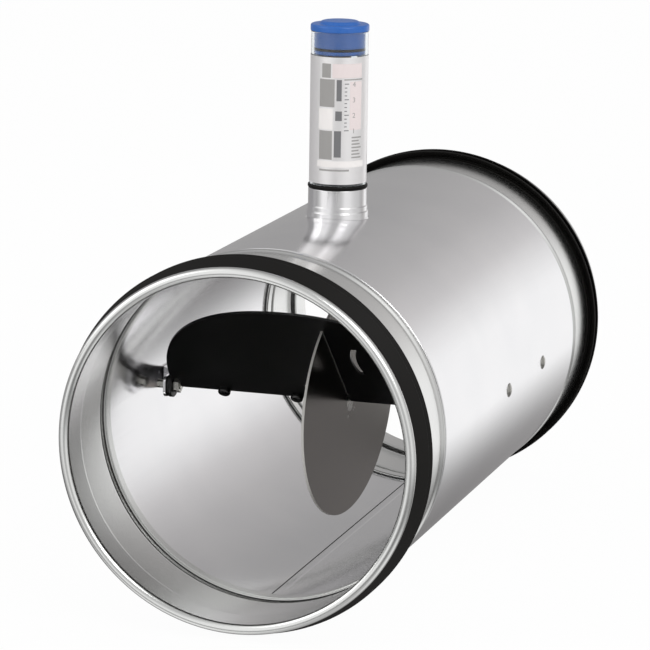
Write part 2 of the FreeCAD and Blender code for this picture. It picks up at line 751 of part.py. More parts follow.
for name, shape in pieces.items():
    shape.exportStep("parts/" + name + ".step")
    print(name, "valid" if shape.isValid() else "NOT VALID", len(shape.Solids), round(shape.Volume, 1))
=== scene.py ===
import bmesh
import bpy
import numpy as np
from mathutils import Matrix, Vector


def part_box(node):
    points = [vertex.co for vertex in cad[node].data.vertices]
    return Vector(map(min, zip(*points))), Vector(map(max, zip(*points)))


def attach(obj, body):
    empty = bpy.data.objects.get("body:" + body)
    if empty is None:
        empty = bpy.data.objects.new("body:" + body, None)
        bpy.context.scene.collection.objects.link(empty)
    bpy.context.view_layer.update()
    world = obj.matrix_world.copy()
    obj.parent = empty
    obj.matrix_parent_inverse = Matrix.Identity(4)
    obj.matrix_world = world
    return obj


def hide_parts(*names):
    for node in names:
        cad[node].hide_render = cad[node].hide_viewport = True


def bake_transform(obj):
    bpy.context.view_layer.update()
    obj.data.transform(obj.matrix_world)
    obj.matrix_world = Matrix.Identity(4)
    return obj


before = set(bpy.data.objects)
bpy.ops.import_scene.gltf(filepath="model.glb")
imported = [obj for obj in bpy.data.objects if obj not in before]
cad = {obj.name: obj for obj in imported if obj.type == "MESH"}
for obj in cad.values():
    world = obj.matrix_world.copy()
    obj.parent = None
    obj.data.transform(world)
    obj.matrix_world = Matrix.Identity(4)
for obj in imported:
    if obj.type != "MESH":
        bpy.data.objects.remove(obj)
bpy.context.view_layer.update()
mm = 0.001
print("frame loaded:", len(cad), "nodes")

# Places read from the frame, in metres
bodyLow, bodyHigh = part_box("duct_body")
tubeLow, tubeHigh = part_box("scale_tube")
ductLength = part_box("outlet_collar")[1].y
bodyRadius = bodyHigh.x
columnY = (tubeLow.y + tubeHigh.y) / 2
columnAxis = (0.0, columnY, 0.0)


def linearColour(hexText, alpha=1.0):
    # sRGB hex to linear: below 0.04045 divide by 12.92, above it the 2.4 power of (c + 0.055) / 1.055.
    c = np.array([int(hexText[i:i + 2], 16) for i in (1, 3, 5)]) / 255
    c = np.where(c <= 0.04045, c / 12.92, ((c + 0.055) / 1.055) ** 2.4)
    return (*c.tolist(), alpha)


def addNode(tree, kind, inputs=None, **settings):
    # One node with its settings: an input takes a plain value, or the socket that feeds it.
    node = tree.nodes.new(kind)
    for name, value in settings.items():
        setattr(node, name, value)
    for name, value in (inputs or {}).items():
        if isinstance(value, bpy.types.NodeSocket):
            tree.links.new(value, node.inputs[name])
        else:
            node.inputs[name].default_value = value
    return node


def startMaterial(name, colour, **sockets):
    # A Principled material: fixed values sit on the shader's own sockets.
    material = bpy.data.materials.new(name)
    material.use_nodes = True
    shader = material.node_tree.nodes["Principled BSDF"]
    shader.inputs["Base Color"].default_value = linearColour(colour)
    for socket, value in sockets.items():
        shader.inputs[socket.replace("_", " ")].default_value = value
    return material, material.node_tree, shader


def grainSurface(tree, shader, sizeMm, rough, detail=2.0, bump=0.0, depthMm=0.0, run=None):
    # Noise of one real size over the piece's own coordinates. Roughness goes from the first to the second
    # value of rough with it, a bump of depthMm follows it, and run scales it along each axis.
    where = addNode(tree, "ShaderNodeTexCoord").outputs["Object"]
    if run:
        where = addNode(tree, "ShaderNodeMapping", {"Vector": where, "Scale": run}).outputs["Vector"]
    grain = addNode(tree, "ShaderNodeTexNoise",
                    {"Vector": where, "Scale": 1 / (sizeMm * mm), "Detail": detail}).outputs["Fac"]
    spread = addNode(tree, "ShaderNodeMapRange", {"Value": grain, "To Min": rough[0], "To Max": rough[1]})
    tree.links.new(spread.outputs["Result"], shader.inputs["Roughness"])
    if bump:
        relief = addNode(tree, "ShaderNodeBump", {"Height": grain, "Strength": bump, "Distance": depthMm * mm})
        tree.links.new(relief.outputs["Normal"], shader.inputs["Normal"])


galvanised = {
    # Marks are fifty times as long as wide: along the duct on the rolled tube, across it on the collars
    "rolled": {"colour": "#f6f5f6", "darker": "#ebebed", "rough": (0.12, 0.20), "run": (1.0, 0.02, 1.0)},
    "spun": {"colour": "#efefed", "darker": "#e2e3e2", "rough": (0.17, 0.26), "run": (0.02, 1.0, 1.0)},
    "grainMm": 1.4,          # width of one roll mark, drawn coarser than the real one so that it shows
    "cloudMm": 45.0,         # size of the soft patches in the zinc
    "bump": 0.05, "depthMm": 0.1,
}


def galvanisedMaterial(name, finish):
    # The zinc's tint goes from colour to darker with soft patches, and fine marks run one way.
    g, look = galvanised, galvanised[finish]
    material, tree, shader = startMaterial(name, look["colour"], Metallic=1.0, Roughness=look["rough"][0])
    where = addNode(tree, "ShaderNodeTexCoord").outputs["Object"]
    cloud = addNode(tree, "ShaderNodeTexNoise",
                    {"Vector": where, "Scale": 1 / (g["cloudMm"] * mm), "Detail": 2.0}).outputs["Fac"]
    tint = addNode(tree, "ShaderNodeMix", {"Factor": cloud, "A": linearColour(look["colour"]),
                                           "B": linearColour(look["darker"])}, data_type="RGBA")
    tree.links.new(tint.outputs["Result"], shader.inputs["Base Color"])
    grainSurface(tree, shader, g["grainMm"], look["rough"], 3.0, g["bump"], g["depthMm"], look["run"])
    return material


def plainMetal(name, colour, rough, spread=0.06, patchMm=3.0, metal=1.0):
    # Turned, drawn or pressed metal: one colour, and roughness within spread of its middle value.
    material, tree, shader = startMaterial(name, colour, Metallic=metal, Roughness=rough)
    grainSurface(tree, shader, patchMm, (max(rough - spread, 0.02), rough + spread), 3.0)
    return material


def mouldedMaterial(name, colour, rough, grainMm, bump, specular=0.5):
    # Plastic, rubber, ink or a matt coat: a fine even grain in both roughness and height.
    material, tree, shader = startMaterial(name, colour, Roughness=rough, IOR=1.5, Specular_IOR_Level=specular)
    grainSurface(tree, shader, grainMm, (rough - 0.06, rough + 0.08), 2.0, bump, 0.05)
    return material


def clearMaterial(name, hazeMm):
    # Clear plastic: full transmission at acrylic's index, with roughness that hardly leaves zero.
    material, tree, shader = startMaterial(name, "#f4f8fa", Roughness=0.03, IOR=1.49)
    shader.inputs["Transmission Weight"].default_value = 1.0
    grainSurface(tree, shader, hazeMm, (0.02, 0.05))
    return material


# Skin-passed zinc on rolled sheet: bright, soft long reflections and only a hint of patches
sheetSteel = galvanisedMaterial("galvanised sheet, rolled along the duct", "rolled")
# The same sheet after spinning: a little duller, with the tool's marks round the collar
spunSteel = galvanisedMaterial("galvanised sheet, spun collar", "spun")
# Drawn sleeve: smooth and bright, its reflections sharper than the tube's
neckSteel = plainMetal("bright drawn steel neck", "#f1f0f1", 0.16)
# Zinc plate on small fasteners and fittings: pale grey and slightly satin
zincPlate = plainMetal("zinc plated steel", "#b9b8b2", 0.28)
# Hard drawn wire: even mid grey with a narrow shine along it
springSteel = plainMetal("drawn spring steel", "#9a9a9c", 0.25)
# Turned brass: warm yellow with soft highlights
brassMetal = plainMetal("turned brass", "#c8a24e", 0.25)
# Black anodised sheet: nearly black, with a thin cool sheen at a low angle
bladeMetal = mouldedMaterial("black anodised aluminium", "#0b0b0b", 0.30, 1.2, 0.02)
# Grey anodised sheet: warm grey and satin, so that it mirrors the tube in a blurred way
discMetal = plainMetal("grey anodised aluminium, satin", "#7a746e", 0.24, 0.03, 2.0)
# Blackened screw heads: dark metal that still catches a highlight
darkSteel = plainMetal("blackened steel screws", "#4a4a4a", 0.30)
# Sawn edge of the disc: bare and pale, with no clear reflection. Its pale matt colour is partly the bare metal
# and partly a painted highlight along the rim
cutEdgeAndHighlight = mouldedMaterial("aluminium cut edge and painted highlight", "#c9c7c3", 0.40, 0.6, 0.02)
# Extruded rubber: deep black and matt, with hardly any shine on the lips
sealRubber = mouldedMaterial("black EPDM rubber", "#1b1a19", 0.48, 0.8, 0.12, 0.12)
# Moulded nylon: black with a fine grain and a soft wide shine
blackPlastic = mouldedMaterial("black moulded nylon", "#141414", 0.40, 0.6, 0.08)
# Moulded acetal: slightly warm white, smooth and a little waxy
whitePlastic = mouldedMaterial("white moulded acetal", "#dcdbd6", 0.42, 0.6, 0.05)
# Moulded polyethylene: clean mid blue with a soft gloss
bluePlastic = mouldedMaterial("blue moulded polyethylene", "#2a66b8", 0.28, 0.9, 0.03)
# Painted seam shade: a raised grey strip that lays one dull dark line in the bright sheet, where the folded
# seam's shadow gap falls
seamShadeLine = mouldedMaterial("grey strip of painted seam shade", "#4c4c4a", 0.50, 0.6, 0.05)
# Extruded acrylic: clear, bright at its ends, its faint haze drawn coarse so that it shows
clearAcrylic = clearMaterial("clear acrylic tube", 2.5)
# Lacquered foil: half mirror, half pale paper white
foilSilver = plainMetal("silver label foil, lacquered", "#eeecec", 0.30, 0.05, 4.0, 0.5)
# Screen-printed inks: flat and matt on the shiny foil
inkWhite = mouldedMaterial("white label ink", "#f6f2f0", 0.45, 1.0, 0.01)
inkPale = mouldedMaterial("pale label ink", "#eadedd", 0.45, 1.0, 0.01)
inkGrey = mouldedMaterial("grey label ink", "#a09e9c", 0.45, 1.0, 0.01)
inkDark = mouldedMaterial("dark label ink", "#767678", 0.45, 1.0, 0.01)
print("materials ready")


def gridObject(name, points, closeU, closeV):
    # Quads over a grid of points (u, v, xyz); closeU and closeV join the last row or column to the first.
    rows, cols = points.shape[:2]
    u = np.arange(rows if closeU else rows - 1)
    v = np.arange(cols if closeV else cols - 1)
    a, b = np.meshgrid(u, v, indexing="ij")
    a2, b2 = (a + 1) % rows, (b + 1) % cols
    quads = np.stack([a * cols + b, a2 * cols + b, a2 * cols + b2, a * cols + b2], -1).reshape(-1, 4)
    return quadObject(name, points.reshape(-1, 3), quads)


def quadObject(name, points, quads):
    # A smooth piece from an array of points and an array of quads that index them.
    mesh = bpy.data.meshes.new(name)
    mesh.vertices.add(len(points))
    mesh.vertices.foreach_set("co", np.ascontiguousarray(points, np.float32).ravel())
    mesh.loops.add(quads.size)
    mesh.loops.foreach_set("vertex_index", np.ascontiguousarray(quads, np.int32).ravel())
    mesh.polygons.add(len(quads))
    mesh.polygons.foreach_set("loop_start", np.arange(0, quads.size, 4, dtype=np.int32))
    mesh.update(calc_edges=True)
    mesh.validate()
    mesh.shade_smooth()
    piece = bpy.data.objects.new(name, mesh)
    bpy.context.scene.collection.objects.link(piece)
    return piece


def roundedLoop(corners, steps=5):
    # Closed outline from rows (along, radius, rounding): each corner becomes an arc that leaves its two
    # sides at rounding times the tangent of half the turn, with one more point on each side close by.
    c = np.array(corners, float)
    p, r = c[:, :2], np.maximum(c[:, 2], 1e-6)
    before, after = np.roll(p, 1, 0) - p, np.roll(p, -1, 0) - p
    before /= np.linalg.norm(before, axis=1, keepdims=True)
    after /= np.linalg.norm(after, axis=1, keepdims=True)
    half = np.arccos(np.clip((before * after).sum(1), -1, 1)) / 2
    bisector = before + after
    bisector /= np.maximum(np.linalg.norm(bisector, axis=1, keepdims=True), 1e-9)
    reach = r / np.tan(half)
    centre = p + bisector * (r / np.sin(half))[:, None]
    start = (p + before * reach[:, None]) - centre
    end = (p + after * reach[:, None]) - centre
    turn = np.arctan2(start[:, 0] * end[:, 1] - start[:, 1] * end[:, 0], (start * end).sum(1))
    angle = turn[:, None] * np.linspace(0, 1, steps)[None]
    cosine, sine = np.cos(angle), np.sin(angle)
    arc = np.stack([start[:, :1] * cosine - start[:, 1:] * sine,
                    start[:, :1] * sine + start[:, 1:] * cosine], -1) + centre[:, None]
    lead = (0.6 * reach)[:, None]
    first = (arc[:, 0] + before * lead)[:, None]
    last = (arc[:, -1] + after * lead)[:, None]
    return np.concatenate([first, arc, last], 1).reshape(-1, 2)


def sheetLoop(line, thickness):
    # Closed outline of a bent sheet: its middle line moved half a thickness to each side along the
    # line's normals, out along one side and back along the other.
    ahead = np.gradient(line, axis=0)
    ahead /= np.linalg.norm(ahead, axis=1, keepdims=True)
    normal = np.stack([-ahead[:, 1], ahead[:, 0]], -1)
    return np.concatenate([line + normal * thickness / 2, (line - normal * thickness / 2)[::-1]])


def arcPoints(centre, radius, startDeg, endDeg, count):
    # Points at centre + radius * (cos, sin) of evenly spaced angles.
    a = np.radians(np.linspace(startDeg, endDeg, count))
    return np.stack([centre[0] + radius * np.cos(a), centre[1] + radius * np.sin(a)], -1)


def linePoints(start, end, count):
    # Points at start * (1 - t) + end * t for evenly spaced t.
    t = np.linspace(0, 1, count)[:, None]
    return np.array(start) * (1 - t) + np.array(end) * t


def turnedPiece(name, loop, axis, through=(0, 0, 0), around=192):
    # Surface of revolution: each outline point (along, radius) goes round the axis in equal steps,
    # at through + along * axis + radius * (cos a * side + sin a * other). A loop that runs the other
    # way is turned back, so that the faces point outwards.
    frameOf = {"Y": ((0, 1, 0), (0, 0, 1), (1, 0, 0)), "Z": ((0, 0, 1), (1, 0, 0), (0, 1, 0))}
    forward, side, other = (np.array(v, float) for v in frameOf[axis])
    loop = np.asarray(loop, float)
    x, y = loop[:, 0], loop[:, 1]
    if (x * np.roll(y, -1) - y * np.roll(x, -1)).sum() > 0:
        loop = loop[::-1]
    a = np.linspace(0, 2 * np.pi, around, endpoint=False)
    ringDirection = np.cos(a)[:, None] * side + np.sin(a)[:, None] * other
    points = (np.array(through, float) + loop[None, :, :1] * forward
              + loop[None, :, 1:] * ringDirection[:, None])
    return gridObject(name, points, True, True)


def sharpen(piece, degrees=32):
    # Edges whose faces turn by more than the angle stay sharp in the shading.
    piece.data.set_sharp_from_angle(angle=np.radians(degrees))
    return piece


def applyModifiers(piece):
    # The finished mesh takes the place of the piece's own, and no modifier stays live.
    graph = bpy.context.evaluated_depsgraph_get()
    mesh = bpy.data.meshes.new_from_object(piece.evaluated_get(graph))
    piece.modifiers.clear()
    piece.data = mesh
    return piece


def mergeClose(mesh, distance, outwards=False):
    # Points nearer to each other than the distance become one, and the faces may be turned outwards.
    work = bmesh.new()
    work.from_mesh(mesh)
    bmesh.ops.remove_doubles(work, verts=work.verts, dist=distance)
    if outwards:
        bmesh.ops.recalc_face_normals(work, faces=work.faces)
    work.to_mesh(mesh)
    work.free()


def readPoints(mesh):
    # The mesh's points as rows of x, y and z.
    co = np.empty(len(mesh.vertices) * 3, np.float32)
    mesh.vertices.foreach_get("co", co)
    return co.reshape(-1, 3)


def dress(piece, material, bodyName, slot, *replaced):
    # Material, body and the CAD nodes that the piece stands for. The finish slot is not used.
    piece.data.materials.clear()
    piece.data.materials.append(material)
    if bodyName:
        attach(piece, bodyName)
    if replaced:
        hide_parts(*replaced)
    return piece


# Camera at the photograph's viewing angle
photoCamera = {
    "azimuth": 17.37, "elevation": 11.946, "rollDeg": 0.851,
    "distance": 1.8358, "target": (0.04987, 0.0, 0.07347), "lens": 195.64, "sensor": 36.0,
}


def placeCamera():
    # Camera at target + distance * back, turned about its own axis by the roll.
    c = photoCamera
    a, e, roll = np.radians([c["azimuth"], c["elevation"], c["rollDeg"]])
    back = np.array([np.sin(a) * np.cos(e), -np.cos(a) * np.cos(e), np.sin(e)])
    right = np.cross(-back, [0, 0, 1])
    right /= np.linalg.norm(right)
    up = np.cross(right, -back)
    across = right * np.cos(roll) + up * np.sin(roll)
    upright = -right * np.sin(roll) + up * np.cos(roll)
    place = np.array(c["target"]) + back * c["distance"]
    data = bpy.data.cameras.new("camera")
    data.lens, data.sensor_width = c["lens"], c["sensor"]
    camera = bpy.data.objects.new("camera", data)
    bpy.context.scene.collection.objects.link(camera)
    turn = [[across[i], upright[i], back[i], place[i]] for i in range(3)]
    camera.matrix_world = Matrix(turn + [[0, 0, 0, 1]])
    bpy.context.scene.camera = camera


placeCamera()
print("camera placed")

duct = {
    "wall": 0.8, "edge": 0.25, "around": 288, "rows": 80,
    "neckFoot": 1.0, "holeGap": 0.1,                     # the hole clears the neck inside its foot
    "cutLow": 60.0, "cutHigh": 120.0,                    # heights that the hole's cutter reaches
    "seamStart": 73.0, "seamWidth": 5.0, "seamHeight": 0.3, "seamSink": 0.05, "seamMerge": 0.001,
    "seamRound": 5,                                      # one over the share of half a seam that slopes
    # The grey strip beside the seam is painted shade for the folded seam's shadow gap
    "shadeLineSide": -2.4, "shadeLineWidth": 1.0, "shadeLineHeight": 0.3,
}


def makeBody():
    # Rolled tube: outer and inner walls on a fine grid, so that the column's hole can be cut cleanly.
    d = duct
    outer, inner = bodyRadius, bodyRadius - d["wall"] * mm
    y0, y1, edge = bodyLow.y, bodyHigh.y, d["edge"] * mm
    run = np.linspace(y0 + edge * 2, y1 - edge * 2, d["rows"])
    loop = np.concatenate([
        np.stack([run, np.full_like(run, inner)], -1),
        arcPoints((y1 - edge, inner + edge), edge, -90, 0, 4),
        arcPoints((y1 - edge, outer - edge), edge, 0, 90, 4),
        np.stack([run[::-1], np.full_like(run, outer)], -1),
        arcPoints((y0 + edge, outer - edge), edge, 90, 180, 4),
        arcPoints((y0 + edge, inner + edge), edge, 180, 270, 4)])
    tube = turnedPiece("duct_tube", loop, "Y", around=d["around"])
    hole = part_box("column_neck")[1].x - d["neckFoot"] * mm + d["holeGap"] * mm
    low, high, centre = d["cutLow"] * mm, d["cutHigh"] * mm, 0.01 * mm
    cutter = turnedPiece("hole_cutter", [(low, centre), (high, centre), (high, hole), (low, hole)],
                         "Z", columnAxis, 96)
    cut = tube.modifiers.new("hole", "BOOLEAN")
    cut.operation, cut.solver, cut.object = "DIFFERENCE", "EXACT", cutter
    applyModifiers(tube)
    bpy.data.objects.remove(cutter)
    sharpen(tube)
    return dress(tube, sheetSteel, "casing", "galvanised_steel", "duct_body")


def makeSeam(name, middle, width, height, material, slot):
    # Band along the floor that follows the tube's curve: its height is the root of the clipped distance
    # from the edge.
    d = duct
    inner = bodyRadius - d["wall"] * mm
    across = np.linspace(-1, 1, 15)
    lift = height * mm * np.clip((1 - np.abs(across)) * d["seamRound"], 0, 1) ** 0.5
    a = (middle + across * width / 2) * mm / inner
    under = inner + d["seamSink"] * mm
    low = np.stack([under * np.sin(a), -under * np.cos(a)], -1)
    high = np.stack([(inner - lift) * np.sin(a), -(inner - lift) * np.cos(a)], -1)
    outline = np.concatenate([high, low[::-1]])
    pole = outline.mean(0)[None].repeat(len(outline), 0)
    rows = np.stack([pole, outline, outline, pole])      # each end closes on a pole in its middle
    start, end = d["seamStart"] * mm, ductLength - d["seamStart"] * mm
    y = np.array([start, start, end, end])
    points = np.stack([rows[..., 0], np.broadcast_to(y[:, None], rows.shape[:2]), rows[..., 1]], -1)
    seam = gridObject(name, points, False, True)
    mergeClose(seam.data, d["seamMerge"] * mm, outwards=True)
    sharpen(seam)
    return dress(seam, material, "casing", slot)


makeBody()
makeSeam("floor_seam", 0.0, duct["seamWidth"], duct["seamHeight"], sheetSteel, "galvanised_steel")
# A grey strip beside the seam paints the folded seam's shadow gap as a dark line
makeSeam("seam_shade_line", duct["shadeLineSide"], duct["shadeLineWidth"], duct["shadeLineHeight"], seamShadeLine, None)
print("duct body made")

collar = {
    "sheet": 0.8, "spigot": 97.6, "channel": 94.4,      # radius of the sheet's middle line
    "rollRadius": 2.5, "rollTurn": 270.0,
    "channelEnd": 21.0, "slope": 3.0, "bend": 1.2,
    "bead": 60.0, "beadHalf": 3.2, "beadHeight": 1.45,
    "inEnd": 72.0, "hemRadius": 0.45, "hemLength": 6.0,
    # Straight lengths left free of points beside the roll, the bends, the bead, the fold and the hem
    "rollLead": 0.8, "bendLead": 0.6, "beadLead": 0.4, "foldLead": 0.3, "hemLead": 0.4,
}


def makeCollar(name, atOutlet, node):
    # Spun collar: rolled mouth, seal channel, stop bead and folded inner end, one sheet line turned about Y.
    # The bead's height is half of height * (1 + cos(pi * distance / half width)).
    c = collar
    line, floor, bend = c["spigot"], c["channel"], c["bend"]
    half, hem = c["sheet"] / 2, c["hemRadius"]
    rollY, rollR = c["rollRadius"] + half, floor + c["rollRadius"]
    foldY, hemLine = c["inEnd"] - hem - half, line - 2 * hem
    corner = np.array([c["slope"], line - floor]) / np.hypot(c["slope"], line - floor)
    foot, head = np.array([c["channelEnd"], floor]), np.array([c["channelEnd"] + c["slope"], line])
    t = np.linspace(0, 1, 7)[:, None]
    early, late, end = (1 - t) ** 2, 2 * t * (1 - t), t ** 2      # weights of a bend's three points
    low = early * (foot - (bend, 0)) + late * foot + end * (foot + bend * corner)
    high = early * (head - bend * corner) + late * head + end * (head + (bend, 0))
    y = np.linspace(-1, 1, 25)
    bead = np.stack([c["bead"] + y * c["beadHalf"], line + c["beadHeight"] * (1 + np.cos(np.pi * y)) / 2], -1)
    clear = bend + c["bendLead"]
    path = np.concatenate([
        arcPoints((rollY, rollR), c["rollRadius"], 270 - c["rollTurn"], 270, 41),
        linePoints((rollY + c["rollLead"], floor), foot - (clear, 0), 8), low, high,
        linePoints(head + (clear, 0), bead[0] - (c["bendLead"], 0), 10), bead,
        linePoints(bead[-1] + (c["beadLead"], 0), (foldY - c["foldLead"], line), 5),
        arcPoints((foldY, line - hem), hem, 90, -90, 9),
        linePoints((foldY - c["hemLead"], hemLine), (foldY - c["hemLength"], hemLine), 6)]) * mm
    loop = sheetLoop(path, c["sheet"] * mm)
    if atOutlet:
        loop[:, 0] = ductLength - loop[:, 0]
    piece = sharpen(turnedPiece(name, loop, "Y", around=256), 50)
    return dress(piece, spunSteel, "casing", "galvanised_steel", node)


makeCollar("front_collar", False, "inlet_collar")
makeCollar("rear_collar", True, "outlet_collar")

seal = {
    "start": 6.2, "end": 20.4, "base": 94.82, "strip": 3.38, "rearLean": 3.2,
    "roots": (2.8, 9.8), "lip": 4.95, "lean": 7.0, "thick": 1.1, "tipDrop": 0.37,
    "round": 0.5, "lipRound": 0.3, "baseRound": 0.1,
}


def makeSeal(name, atOutlet, node):
    # Rubber strip with two leaning lips, its corners rounded, turned about Y.
    s = seal
    top = s["base"] + s["strip"]
    tip = top + s["lip"]
    corners = [(s["start"], s["base"], s["baseRound"]), (s["start"], top, s["round"])]
    for root in s["roots"]:
        y = s["start"] + root
        corners += [(y, top, s["round"]), (y + s["lean"], tip, s["lipRound"]),
                    (y + s["lean"] + s["thick"], tip - s["tipDrop"], s["lipRound"]),
                    (y + 2 * s["thick"], top, s["lipRound"])]
    corners += [(s["end"] + s["rearLean"], top, s["lipRound"]), (s["end"], s["base"], s["baseRound"])]
    loop = roundedLoop(corners, 4) * mm
    if atOutlet:
        loop[:, 0] = ductLength - loop[:, 0]
    piece = sharpen(turnedPiece(name, loop, "Y", around=224), 50)
    return dress(piece, sealRubber, "casing", "black_rubber", node)


makeSeal("front_seal", False, "inlet_gasket")
makeSeal("rear_seal", True, "outlet_gasket")
print("collars and seals made")

neck = {
    "radius": 16.7, "sheet": 0.8, "top": 114.7,
    "step": 0.45, "stepTop": 105.0, "stepSlope": 0.5,
    "foot": 1.0, "footTop": 101.4, "footSlope": 0.6,
    "bottom": 90.0, "fitBelow": 94.0,                    # points below fitBelow are fitted to the duct
    "rim": 0.2, "rimLift": 0.02, "sleeveSink": 2.6,      # the foot lies on the duct, the sleeve goes in
}


def makeNeck():
    # Drawn neck: a stepped sleeve turned about the column's axis. Its lowest points move to the duct's
    # height at their side, the root of radius squared less x squared.
    n = neck
    r = n["radius"]
    loop = roundedLoop([
        (n["bottom"], r - n["sheet"], 0.1), (n["bottom"], r + n["foot"], 0.1),
        (n["footTop"], r + n["foot"], 0.5), (n["footTop"] + n["footSlope"], r + n["step"], 0.3),
        (n["stepTop"] - n["stepSlope"], r + n["step"], 0.3), (n["stepTop"], r, 0.3),
        (n["top"], r, 0.25), (n["top"], r - n["sheet"], 0.2)], 5) * mm
    piece = turnedPiece("neck_sleeve", loop, "Z", columnAxis, 160)
    co = readPoints(piece.data)
    saddle = np.sqrt(bodyRadius ** 2 - co[:, 0] ** 2)
    outside = np.hypot(co[:, 0], co[:, 1] - columnY) > (r + n["rim"]) * mm
    fitted = np.where(outside, saddle + n["rimLift"] * mm, saddle - n["sleeveSink"] * mm)
    co[:, 2] = np.where(co[:, 2] < n["fitBelow"] * mm, fitted, co[:, 2])
    piece.data.vertices.foreach_set("co", co.ravel())
    piece.data.update()
    sharpen(piece, 40)
    return dress(piece, neckSteel, "casing", "galvanised_steel", "column_neck")


makeNeck()

column = {
    "outer": 16.2, "inner": 14.6, "low": 117.0, "high": 204.0,
    "ringOut": 17.05, "ringIn": 15.85, "neckTop": 112.8, "lipLow": 114.75,
    "capTop": 209.6, "capFlange": 207.9, "capOut": 16.6, "capDome": 11.9, "domeSlope": 1.6, "capSeat": 0.05,
    "capPlug": 14.52, "capWall": 3.0, "capRoof": 206.2, "plugLow": 191.0,
    "grooveLow": 193.2, "grooveHigh": 194.8, "grooveIn": 13.7,
    "axisGap": 0.01,                                     # how near an outline comes to the axis
}


def makeTurned(name, corners, material, bodyName, slot, node):
    # A round piece about the column's axis from corner rows (height, radius, rounding) in millimetres.
    piece = sharpen(turnedPiece(name, roundedLoop(corners) * mm, "Z", columnAxis, 128), 45)
    return dress(piece, material, bodyName, slot, node)


def makeColumn():
    # Clear tube, rubber ring below it and blue cap, all turned about the column's axis.
    c = column
    makeTurned("clear_tube", [(c["low"], c["inner"], 0.2), (c["low"], c["outer"], 0.3),
                              (c["high"], c["outer"], 0.35), (c["high"], c["inner"], 0.3)],
               clearAcrylic, "casing", "clear_plastic", "scale_tube")
    makeTurned("neck_ring", [(c["neckTop"], c["inner"], 0.2), (c["neckTop"], c["ringIn"], 0.2),
                             (c["lipLow"], c["ringIn"], 0.1), (c["lipLow"], c["ringOut"], 0.9),
                             (c["low"], c["ringOut"], 0.9), (c["low"], c["inner"], 0.2)],
               sealRubber, "casing", "black_rubber", "neck_seal_ring")
    seat, plugIn = c["high"] + c["capSeat"], c["capPlug"] - c["capWall"]
    domeEdge = c["capDome"] - c["domeSlope"]
    makeTurned("blue_cap", [(c["capTop"], c["axisGap"], 0.001), (c["capTop"], domeEdge, 2.5),
                            (c["capFlange"], c["capDome"], 0.8), (c["capFlange"], c["capOut"], 1.1),
                            (seat, c["capOut"], 0.5), (seat, c["capPlug"], 0.2),
                            (c["grooveHigh"], c["capPlug"], 0.2), (c["grooveHigh"], c["grooveIn"], 0.2),
                            (c["grooveLow"], c["grooveIn"], 0.2), (c["grooveLow"], c["capPlug"], 0.2),
                            (c["plugLow"], c["capPlug"], 0.6), (c["plugLow"], plugIn, 0.4),
                            (c["capRoof"], plugIn, 1.0), (c["capRoof"], c["axisGap"], 0.001)],
               bluePlastic, "cap", "blue_plastic", "top_cap")


makeColumn()
print("column made")

label = {
    "radius": 16.38, "low": 118.4, "high": 190.6, "halfOpenDeg": 25.0, "thick": 0.06,
    "front": -72.6,          # direction that faces the viewer, degrees from +X
    "inkLift": 0.05, "inkThick": 0.04, "figureLift": 0.06, "figureThick": 0.02,
    "ruleCount": 7, "ruleFrom": 27, "ruleTo": 50, "ruleLow": 133.4, "ruleStep": 1.9, "ruleHeight": 0.8,
    "tickCount": 13, "tickFrom": 11, "tickLow": 149.0, "tickStep": 2.2, "tickHeight": 0.5,
    "tickLong": 9, "tickShort": 5, "tickEvery": 4,
    "figures": "1234", "figureAt": 31, "figureLow": 147.6, "figureStep": 8.8, "figureSize": 4.0,
    "figureMerge": 0.002,
}

# Printed fields: name, from and to in degrees, low and high in millimetres, ink
printed = [
    ("heading_panel", -14, 50, 179.0, 187.0, inkPale),
    ("heading_side", -36, -17, 179.0, 187.0, inkGrey),
    ("left_panel", -41, -9, 162.5, 178.2, inkGrey),
    ("upper_bar", -5, 5, 166.0, 178.0, inkDark),
    ("right_panel", 22, 50, 149.5, 177.0, inkPale),
    ("panel_edge", 10, 52, 177.7, 178.4, inkGrey),
    ("white_panel", -43, -12, 149.8, 161.5, inkWhite),
    ("middle_spot", -7, 6, 154.8, 160.2, inkDark),
    ("lower_left", -41, -13, 132.6, 149.0, inkGrey),
    ("lower_bar", -9, 5, 134.0, 149.0, inkDark),
    ("white_band", -46, 58, 128.2, 131.8, inkWhite),
    ("dash_line", -40, 22, 126.0, 127.0, inkGrey),
]


def curvedPatch(name, fromDeg, toDeg, low, high, lift, thick, material, along=8):
    # Thin closed band on the column: grid of angle and height at two radii, joined at its rim.
    # Angles are counted from the label's front, positive to the viewer's right.
    n = label
    a = np.radians(n["front"] + np.linspace(fromDeg, toDeg, max(3, int(abs(toDeg - fromDeg) / 4) + 2)))
    z = np.linspace(low, high, along)
    radius = n["radius"] + lift
    grid = np.stack(np.broadcast_arrays(radius * np.cos(a)[None], radius * np.sin(a)[None], z[:, None]), -1)
    back = grid * np.array([(radius - thick) / radius, (radius - thick) / radius, 1.0])
    rows, cols = grid.shape[:2]
    points = np.concatenate([grid.reshape(-1, 3), back.reshape(-1, 3)]) * mm + np.array(columnAxis)
    i, j = (v.ravel() for v in np.meshgrid(np.arange(rows - 1), np.arange(cols - 1), indexing="ij"))
    front = np.stack([i * cols + j, i * cols + j + 1, (i + 1) * cols + j + 1, (i + 1) * cols + j], -1)
    size = rows * cols
    rim = np.concatenate([np.arange(cols), np.arange(1, rows) * cols + cols - 1,
                          (rows - 1) * cols + np.arange(cols - 2, -1, -1), np.arange(rows - 2, 0, -1) * cols])
    nextRim = np.roll(rim, -1)
    sides = np.stack([nextRim, rim, rim + size, nextRim + size], -1)
    piece = quadObject(name, points, np.concatenate([front, (front + size)[:, ::-1], sides]))
    sharpen(piece, 40)
    return dress(piece, material, "casing", "printed_foil")


